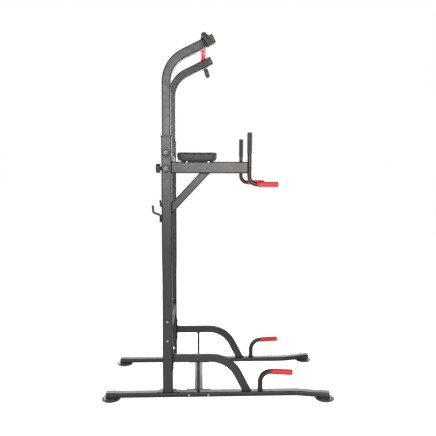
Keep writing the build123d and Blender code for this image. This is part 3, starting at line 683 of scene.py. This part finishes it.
def inflate(piece, place, floor_z):
    """Swell a closed mesh by cloth pressure, held round the board, and cap how far each point moves."""
    rest = [v.co.copy() for v in piece.data.vertices]
    held = piece.vertex_groups.new(name="held")
    pinned = []
    for i, p in enumerate(rest):
        local = place.inverted() @ p
        in_pocket = abs(local.x) < POCKET[0] and abs(local.y) < POCKET[1] and local.z < POCKET[2]
        if in_pocket or local.z < 1.5 * MM:
            pinned.append(i)
    held.add(pinned, 1.0, "REPLACE")
    cloth = piece.modifiers.new("cloth", "CLOTH")
    cloth.settings.quality = 6
    cloth.settings.mass = 0.25
    cloth.settings.tension_stiffness = 12
    cloth.settings.compression_stiffness = 6
    cloth.settings.shear_stiffness = 5
    cloth.settings.bending_stiffness = 0.4
    cloth.settings.use_pressure = True
    cloth.settings.uniform_pressure_force = 4.0
    cloth.settings.vertex_group_mass = "held"
    cloth.settings.effector_weights.gravity = 0.0
    cloth.collision_settings.use_collision = False
    scene = bpy.context.scene
    for step in range(1, 21):
        scene.frame_set(step)
    swollen = evaluated_copy(piece)
    piece.modifiers.clear()
    for vertex, before, after in zip(piece.data.vertices, rest, swollen.vertices):
        move = after.co - before
        if move.length > PAD_CAP:
            move *= PAD_CAP / move.length
        moved = before + move
        vertex.co = (moved.x, moved.y, max(moved.z, floor_z))
    bpy.data.meshes.remove(swollen)
    scene.frame_set(1)


def outline_at(tree, place, height, proud, count):
    """Points round a pad at a height, found on its surface and moved out by proud."""
    found = []
    core = place @ Vector((0, 0, height))
    for angle in turns(count):
        reach = Vector((math.cos(angle) * 0.100, math.sin(angle) * 0.045, 0))
        direction = (place.to_3x3() @ reach).normalized()
        hit, normal, _, _ = tree.ray_cast(core + direction * 0.2, -direction)
        found.append(hit + normal * proud)
    return found


def evenly(points, step):
    """The same closed line with evenly spaced points."""
    loop = points + [points[0]]
    lengths = [(b - a).length for a, b in zip(loop, loop[1:])]
    total = sum(lengths)
    count = round(total / step)
    spaced, span, start = [], 0, 0.0
    for i in range(count):
        target = total * i / count
        while start + lengths[span] < target:
            start += lengths[span]
            span += 1
        spaced.append(loop[span].lerp(loop[span + 1], (target - start) / lengths[span]))
    return spaced


def pad_trim(name, piece, place, height):
    """Piping round the pad's top edge, with a row of stitches under it."""
    mesh = evaluated_copy(piece)
    bm = bmesh.new()
    bm.from_mesh(mesh)
    tree = BVHTree.FromBMesh(bm)
    bm.free()
    bpy.data.meshes.remove(mesh)
    up = Vector((0, 0, 1))
    line = evenly(outline_at(tree, place, height * 0.80, 0.3 * MM, 180), 0.0035)
    bm = bmesh.new()
    tube(bm, line, [1.9 * MM] * len(line), 12, up, looped=True)
    finish_piece(f"pad_piping_{name}", bm, "tower_frame", "pad_cover")
    bm = bmesh.new()
    row = evenly(outline_at(tree, place, height * 0.80 - 4.2 * MM, 0.1 * MM, 180), 0.0011)
    stitch, gap = 4, 2
    for start in range(0, len(row) - stitch, stitch + gap):
        points = row[start:start + stitch + 1]
        tube(bm, points, [0.25 * MM, 0.42 * MM, 0.45 * MM, 0.42 * MM, 0.25 * MM][: len(points)], 6, up)
    finish_piece(f"pad_stitches_{name}", bm, "tower_frame", "thread")


def forearm_pads():
    for name, side in SIDES.items():
        node = f"forearm_pad_{name}"
        low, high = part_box(node)
        place = pad_local(side)
        mesh = pad_block(place, high.z - low.z)
        piece = bpy.data.objects.new(f"forearm_pad_{name}_cover", mesh)
        bpy.context.scene.collection.objects.link(piece)
        remesh(piece, 0.0045)
        inflate(piece, place, low.z)
        smooth = piece.modifiers.new("subdivision", "SUBSURF")
        smooth.levels = smooth.render_levels = 1
        piece.data = evaluated_copy(piece)
        piece.modifiers.clear()
        piece.data.name = piece.name
        piece.data.shade_smooth()
        piece.data.materials.clear()
        piece.data.materials.append(MATERIALS["pad_cover"])
        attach(piece, "tower_frame")
        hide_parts(node)
        pad_trim(name, piece, place, high.z - low.z)


# ---- Knobs ----
KNOB_R = 0.0265
LOBES = 6


def star(radius, angle):
    """The radius of a six-lobed outline with rounded valleys."""
    lobes = 0.5 + 0.5 * math.cos(LOBES * angle)
    return radius * (0.76 + 0.24 * lobes ** 0.75)


def star_knob(bm, place, depth, hollow):
    """A moulded star knob from its back at local z 0 to its face at depth, with a socket in its face."""
    def shape(along, radius, angle):
        """Lobed where the radius is large, and round towards the middle."""
        lobed = max(0.0, min(1.0, (radius / KNOB_R - 0.55) / 0.25))
        return radius + (star(radius, angle) - radius) * lobed

    shoulder = 0.0045
    if hollow:
        profile = [(hollow, 0.3 * MM), (hollow, 0.0102), (0.0, 0.0102), (0.0, 0.0125)]
    else:
        profile = [(-0.005, 0.3 * MM), (-0.005, 0.0098), (-0.0042, 0.011), (0.0, 0.0112), (0.0004, 0.0135)]
    profile += [(0.0002, KNOB_R * 0.72), (0.0006, KNOB_R * 0.93)]
    profile += arc(0.0022, KNOB_R - 0.0022, 0.0022, -60, 0, 4)
    profile += arc(depth - shoulder, KNOB_R - shoulder, shoulder, 0, 78, 7)
    profile += [(depth - 0.0006, KNOB_R * 0.66), (depth - 0.0004, 0.0124), (depth - 0.0008, 0.0118)]
    profile += [(depth - 0.0024, 0.0114), (depth - 0.0026, 0.0110), (depth - 0.0026, 0.0064)]
    profile += [(depth - 0.0032, 0.0058), (depth - 0.0110, 0.0055), (depth - 0.0112, 0.3 * MM)]
    lathe(bm, place, profile, 96, shape)


def hex_ring(radius, angle):
    """A hexagon's radius at an angle, for a half-width across flats."""
    return radius / math.cos((angle + math.pi / 6) % (math.pi / 3) - math.pi / 6)


def insert_ring(bm, place, depth):
    """The plated ring pressed into a knob's face round its socket."""
    seat, face = depth - 0.0025, depth - 0.0008
    profile = [(seat, 0.0060), (seat, 0.0106), (face - 0.0005, 0.0106), (face, 0.0099), (face, 0.0068)]
    profile.append((face - 0.0006, 0.0061))
    rings = []
    for along, radius in profile:
        outer = radius > 0.008
        radii = [(hex_ring(radius * 0.88, a) if outer else radius, a) for a in turns(48)]
        rings.append([place @ Vector((r * math.cos(a), r * math.sin(a), along)) for r, a in radii])
    skin(bm, rings, looped=True)


def threaded_shank(bm, place, start, end, radius):
    """A threaded rod from local z start down to end."""
    count = round((start - end) / 0.0015) * 4
    profile = [(start, 0.3 * MM)]
    for i in range(count + 1):
        groove = 0.45 * MM * (0.5 + 0.5 * math.cos(math.tau * i / 4))
        profile.append((start + (end - start) * i / count, radius - groove))
    profile += [(end - 0.0004, radius - 0.0012), (end - 0.0004, 0.3 * MM)]
    lathe(bm, place, profile, 24)


def clamp_knobs():
    """The side knobs that clamp the masts, with their screws."""
    depth = 0.019
    for name, side in SIDES.items():
        for level in ("lower", "upper"):
            node = f"clamp_knob_{level}_{name}"
            low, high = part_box(node)
            outer, inner = (high.y, low.y) if side > 0 else (low.y, high.y)
            back = Vector((centre(node).x, outer - side * depth, centre(node).z))
            place = placed(back, (0, side, 0), (0, 0, 1))
            bm = bmesh.new()
            star_knob(bm, place, depth, 0)
            finish_piece(f"{node}_star", bm, node, "black_plastic", replaces=(node,), sharp=40)
            bm = bmesh.new()
            insert_ring(bm, place, depth)
            finish_piece(f"{node}_insert", bm, node, "knob_insert")
            bm = bmesh.new()
            threaded_shank(bm, place, -0.0052, 0.0006 - abs(back.y - inner), 0.0049)
            finish_piece(f"{node}_screw", bm, node, "zinc")


def pull_pins():
    """The spring-loaded pins on the back of the uprights: knob, stem and the coil spring in the barrel."""
    depth, hollow = 0.026, 0.0156
    rear_face = UPRIGHT_X - UPRIGHT / 2
    for name, side in SIDES.items():
        node = f"pull_pin_{name}"
        low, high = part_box(node)
        back = Vector((low.x + depth, side * TRACK, centre(node).z))
        place = placed(back, (-1, 0, 0), (0, 0, 1))
        bm = bmesh.new()
        star_knob(bm, place, depth, hollow)
        finish_piece(f"{node}_star", bm, node, "black_plastic", replaces=(node,), sharp=40)
        stem = placed(Vector((high.x, back.y, back.z)), (-1, 0, 0), (0, 0, 1))
        reach = high.x - rear_face
        end = high.x - back.x + hollow - 0.0002
        bm = bmesh.new()
        lathe(
            bm, stem,
            [(0.0, 0.3 * MM), (0.0, 0.0040), (0.0008, 0.0049), (reach + 0.0005, 0.0049),
             (reach + 0.0005, 0.0066), (reach + 0.0009, 0.0070), (reach + 0.0026, 0.0070),
             (reach + 0.0030, 0.0066), (reach + 0.0030, 0.0035), (end, 0.0035), (end, 0.3 * MM)],
            32,
        )
        finish_piece(f"{node}_stem", bm, node, "zinc")
        bm = bmesh.new()
        insert_ring(bm, place, depth)
        finish_piece(f"{node}_insert", bm, node, "knob_insert")
        pin_spring(name, node)


def pin_spring(name, pin_body):
    """The pin's coil spring, carried on the pin."""
    node = f"pin_spring_{name}"
    low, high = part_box(node)
    wire = 0.0006
    radius = (high.z - low.z) / 2 - wire
    middle = centre(node)
    coils = 5
    count = coils * 20
    length = high.x - low.x - 2 * wire
    points = []
    for i in range(count + 1):
        angle = math.tau * coils * i / count
        around = Vector((0, math.cos(angle), math.sin(angle))) * radius
        points.append(Vector((high.x - wire - length * i / count, middle.y, middle.z)) + around)
    bm = bmesh.new()
    tube(bm, points, [wire] * len(points), 8, (1, 0, 0))
    spring = finish_piece(f"{node}_coil", bm, pin_body, "spring_steel", replaces=(node,))
    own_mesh(spring)


# ---- Suction feet ----
def foot_profile(radius):
    """Half the section of a suction cup, as (height, radius)."""
    hollow = [(0.0038, 0.3 * MM), (0.0038, 0.030), (0.0022, 0.042), (0.0004, 0.051), (0.0, 0.0535)]
    rim = [(0.0, radius - 0.0016)] + arc(0.0016, radius - 0.0016, 0.0016, -80, 75, 8)
    lip = [(0.0034, radius - 0.0048), (0.0039, radius - 0.009), (0.0056, 0.0440), (0.0062, 0.0432)]
    ring = [(0.0066, 0.0420), (0.0064, 0.0408), (0.0075, 0.0340), (0.0092, 0.0285)]
    shoulder = [(0.0101, 0.0262), (0.0102, 0.0245), (0.0102, 0.0062), (0.0104, 0.0051)]
    neck = [(0.0138, 0.0050), (0.0142, 0.0078), (0.0148, 0.0080), (0.0188, 0.0052)]
    return hollow + rim + lip + ring + shoulder + neck + [(0.0190, 0.0040), (0.0190, 0.3 * MM)]


def suction_feet():
    """Rubber suction cups with a rolled rim, raised rings and a neck that goes up into the tube's end."""
    for name in SIDES:
        for end in ("front", "rear"):
            node = f"suction_foot_{end}_{name}"
            low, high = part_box(node)
            radius = (high.x - low.x) / 2
            place = placed(Vector((centre(node).x, centre(node).y, 0)), (0, 0, 1), (1, 0, 0))
            bm = bmesh.new()
            lathe(bm, place, foot_profile(radius), 72)
            finish_piece(f"{node}_cup", bm, "tower_frame", "foot_rubber", replaces=(node,), sharp=50)


# ---- Weld beads ----
def bead(bm, points, closed, size=BEAD_R):
    """A rippled weld bead along a line of closely spaced points."""
    travelled, radii = 0.0, []
    total = sum((b - a).length for a, b in zip(points, points[1:]))
    for i, p in enumerate(points):
        travelled += (p - points[i - 1]).length if i else 0.0
        ripple = math.sin(math.tau * travelled / BEAD_PITCH)
        drift = noise.noise(p * 90)
        radius = size * (1 + 0.13 * ripple + 0.14 * drift)
        if not closed:
            radius *= min(1.0, 0.35 + min(travelled, total - travelled) / (2.2 * size))
        radii.append(radius)
    side = Vector((0.31, 0.52, 0.79))
    tube(bm, points, radii, 7, side, looped=closed)


def joint_line(origin, x_dir, y_dir, size, corner, on_point, on_normal):
    """Where a box tube's outline, slid along its axis, meets a plane."""
    x_dir, y_dir, on_normal = Vector(x_dir), Vector(y_dir), Vector(on_normal)
    axis = x_dir.cross(y_dir)
    line = []
    for a, b in rounded_rectangle(*size, corner, BEAD_STEP):
        p = Vector(origin) + x_dir * a + y_dir * b
        slide = (Vector(on_point) - p).dot(on_normal) / axis.dot(on_normal)
        line.append(p + axis * slide)
    return evenly(line, BEAD_STEP)


def side_frame_welds(side):
    """The beads that join one side frame's tubes, plates and handles."""
    bm = bmesh.new()
    across, up, front = Vector((0, 1, 0)), Vector((0, 0, 1)), Vector((1, 0, 0))
    front_face = Vector((UPRIGHT_X + UPRIGHT / 2, side * TRACK, 0))

    # Dip arm to upright.
    point, along, arm_across = arm_place(side, UPRIGHT / 2, sum(ARM_Z) / 2)
    arm_height = ARM_Z[1] - ARM_Z[0]
    section = (ARM_WIDTH, arm_height)
    bead(bm, joint_line(point, arm_across, up, section, TUBE_CORNER, front_face, front), True)

    # Brace to the arm's underside and to the upright.
    slope = along * math.cos(BRACE_ANGLE) + up * math.sin(BRACE_ANGLE)
    rise = slope.cross(arm_across).normalized()
    point, _, _ = arm_place(side, BRACE_REACH, ARM_Z[0])
    for on_point, on_normal in ((point, up), (front_face, front)):
        bead(bm, joint_line(point, arm_across, rise, BRACE_SIZE, TUBE_CORNER, on_point, on_normal), True)

    # Upright to its foot plate.
    foot_plate = Vector((UPRIGHT_X, side * TRACK, BASE_TOP + 0.005))
    bead(bm, joint_line(foot_plate, front, across, (UPRIGHT, UPRIGHT), TUBE_CORNER, foot_plate, up), True)

    # Curved support to its flange and to the base.
    flange = front_face + Vector((0.004, 0, 0.255))
    bead(bm, joint_line(flange, across, up, (0.025, 0.050), TUBE_CORNER, flange, front), True)
    down = Vector((math.cos(SUPPORT_DROP), 0, -math.sin(SUPPORT_DROP)))
    low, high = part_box("curved_support_left")
    outer_x = high.x - 0.025 / math.sin(SUPPORT_DROP)
    toe = Vector((outer_x, side * TRACK, BASE_TOP))
    bead(bm, joint_line(toe, across, down.cross(across), (0.025, 0.050), TUBE_CORNER, toe, up), True)

    # Strut to the base and to the support's underside.
    low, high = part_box("strut_left")
    for z in (low.z, high.z):
        point = Vector(((low.x + high.x) / 2, side * TRACK, z))
        bead(bm, joint_line(point, front, across, (0.015, 0.025), 0.0025, point, up), True, 1.6 * MM)

    # Push-up handle to the base.
    low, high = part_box("pushup_handle_left")
    post = Vector((low.x + PUSHUP_R, side * TRACK, BASE_TOP))
    steps = round(math.tau * PUSHUP_R / BEAD_STEP)
    bead(bm, [post + Vector((math.cos(a), math.sin(a), 0)) * PUSHUP_R for a in turns(steps)], True)

    # Dip handle to the arm's end, up both sides of the tube.
    for lateral in (-0.0102, 0.0102):
        line = []
        for i in range(round(arm_height / BEAD_STEP) + 1):
            z = ARM_Z[0] + min(arm_height, i * BEAD_STEP)
            line.append(arm_place(side, ARM_END + 1.2 * MM, z, lateral)[0])
        bead(bm, line, False, 2.6 * MM)

    # Hook's rod to its plate, down both sides.
    low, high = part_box("hook_left")
    for lateral in (-0.0052, 0.0052):
        x = UPRIGHT_X - UPRIGHT / 2 - 0.0035
        line = [Vector((x, side * TRACK + lateral, low.z + 0.006 + i * BEAD_STEP)) for i in range(34)]
        bead(bm, line, False, 1.5 * MM)
    return bm


def crossbar_welds():
    """The beads between each crossbar and its end flanges."""
    bm = bmesh.new()
    up, front = Vector((0, 0, 1)), Vector((1, 0, 0))
    sections = {
        "base_crossbar": (0.050, 0.028),
        "lower_crossbar": (0.050, 0.050),
        "upper_crossbar": (0.050, 0.050),
    }
    for node, (width, height) in sections.items():
        low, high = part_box(node)
        middle = centre(node)
        for y in (low.y + 0.004, high.y - 0.004):
            point = Vector((middle.x, y, middle.z))
            line = joint_line(point, front, up, (width, height), min(width, height) / 6, point, (0, 1, 0))
            bead(bm, line, True, 1.8 * MM)
    return bm


def mast_welds():
    """The beads between the masts and the cradles that hold the bar."""
    bm = bmesh.new()
    rise = Vector((math.sin(MAST_TURN), 0, math.cos(MAST_TURN)))
    out = Vector((-math.cos(MAST_TURN), 0, math.sin(MAST_TURN)))
    bar = centre("bar_red_grip_left")
    for side in SIDES.values():
        seat = Vector((bar.x, side * TRACK, bar.z)) - out * BAR_ABOVE_MAST
        bead(bm, joint_line(seat, (0, 1, 0), rise, CRADLE, 0.0008, seat, out), True, 1.9 * MM)
    return bm


def welds():
    for name, side in SIDES.items():
        beads = side_frame_welds(side)
        finish_piece(f"side_frame_welds_{name}", beads, "tower_frame", "frame_paint", sharp=80)
    finish_piece("crossbar_welds", crossbar_welds(), "tower_frame", "frame_paint", sharp=80)
    finish_piece("mast_cradle_welds", mast_welds(), "upper_frame", "frame_paint", sharp=80)


# ---- CAD nodes that stay ----
def repaint_frame():
    """Give each CAD node that stays the material of its slot."""
    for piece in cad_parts.values():
        for held in piece.material_slots:
            name = held.material.name.split(".")[0] if held.material else "frame_paint"
            held.material = MATERIALS[name]


# ---- Studio ----
def camera():
    """The photograph's viewing angle: level-eyed, from the user's right, a little behind the middle."""
    data = bpy.data.cameras.new("camera")
    data.sensor_width = 36
    data.lens = 39.06
    data.clip_end = 100
    made = bpy.data.objects.new("camera", data)
    yaw, pitch = 0.0394, 0.0956
    forward = Vector((math.sin(yaw) * math.cos(pitch), math.cos(yaw) * math.cos(pitch), -math.sin(pitch)))
    made.matrix_world = placed(Vector((-0.1157, -3.1025, 1.3941)), -forward, (1, 0, 0))
    bpy.context.scene.collection.objects.link(made)
    bpy.context.scene.camera = made


def area_light(name, place, target, size, power, colour=(1, 1, 1)):
    """A rectangular softbox that faces a target."""
    data = bpy.data.lights.new(name, "AREA")
    data.shape = "RECTANGLE"
    data.size, data.size_y = size
    data.energy = power
    data.color = colour
    made = bpy.data.objects.new(name, data)
    made.matrix_world = placed(Vector(place), Vector(place) - Vector(target), (1, 0, 0))
    bpy.context.scene.collection.objects.link(made)
    made.visible_camera = False
    return made


def backdrop_world():
    """White for the camera, and a dim surround for the light."""
    world = bpy.data.worlds.new("studio")
    bpy.context.scene.world = world
    world.use_nodes = True
    tree = world.node_tree
    shader = tree.nodes["Background"]
    seen = add_node(tree, "ShaderNodeLightPath").outputs["Is Camera Ray"]
    tree.links.new(spread(tree, seen, *BACKDROP_GLOW, 0.0, 1.0), shader.inputs["Strength"])
    shader.inputs["Color"].default_value = (1, 1, 1, 1)


def floor():
    """A wide pale floor that glows like a light table."""
    bm = bmesh.new()
    bmesh.ops.create_circle(bm, cap_ends=True, segments=96, radius=60)
    mesh = bpy.data.meshes.new("floor")
    bm.to_mesh(mesh)
    bm.free()
    mesh.materials.append(studio_floor())
    made = bpy.data.objects.new("floor", mesh)
    made.location.z = -0.2 * MM
    bpy.context.scene.collection.objects.link(made)


def studio():
    camera()
    area_light("key_softbox", (0.15, -3.9, 2.05), (0.0, 0.0, 1.7), (2.3, 1.75), 135, (1.0, 0.972, 0.95))
    area_light("top_softbox", (0.0, 0.3, 4.4), (0.0, 0.0, 0.0), (2.6, 2.6), 16)
    area_light("back_softbox", (0.0, 3.6, 1.7), (0.0, 0.0, 0.2), (4.4, 1.7), 115)
    area_light("front_fill", (3.6, 1.2, 1.7), (0.0, 0.0, 1.0), (1.4, 2.4), 90)
    area_light("rear_fill", (-3.6, 1.2, 1.7), (0.0, 0.0, 1.0), (1.4, 2.4), 90)
    backdrop_world()
    floor()
    bpy.context.scene.view_settings.view_transform = "Standard"


repaint_frame()
handle_grips()
bar_red_grips()
dip_foam_grips()
bar_foam_grips()
clamp_knobs()
pull_pins()
suction_feet()
welds()
forearm_pads()
studio()
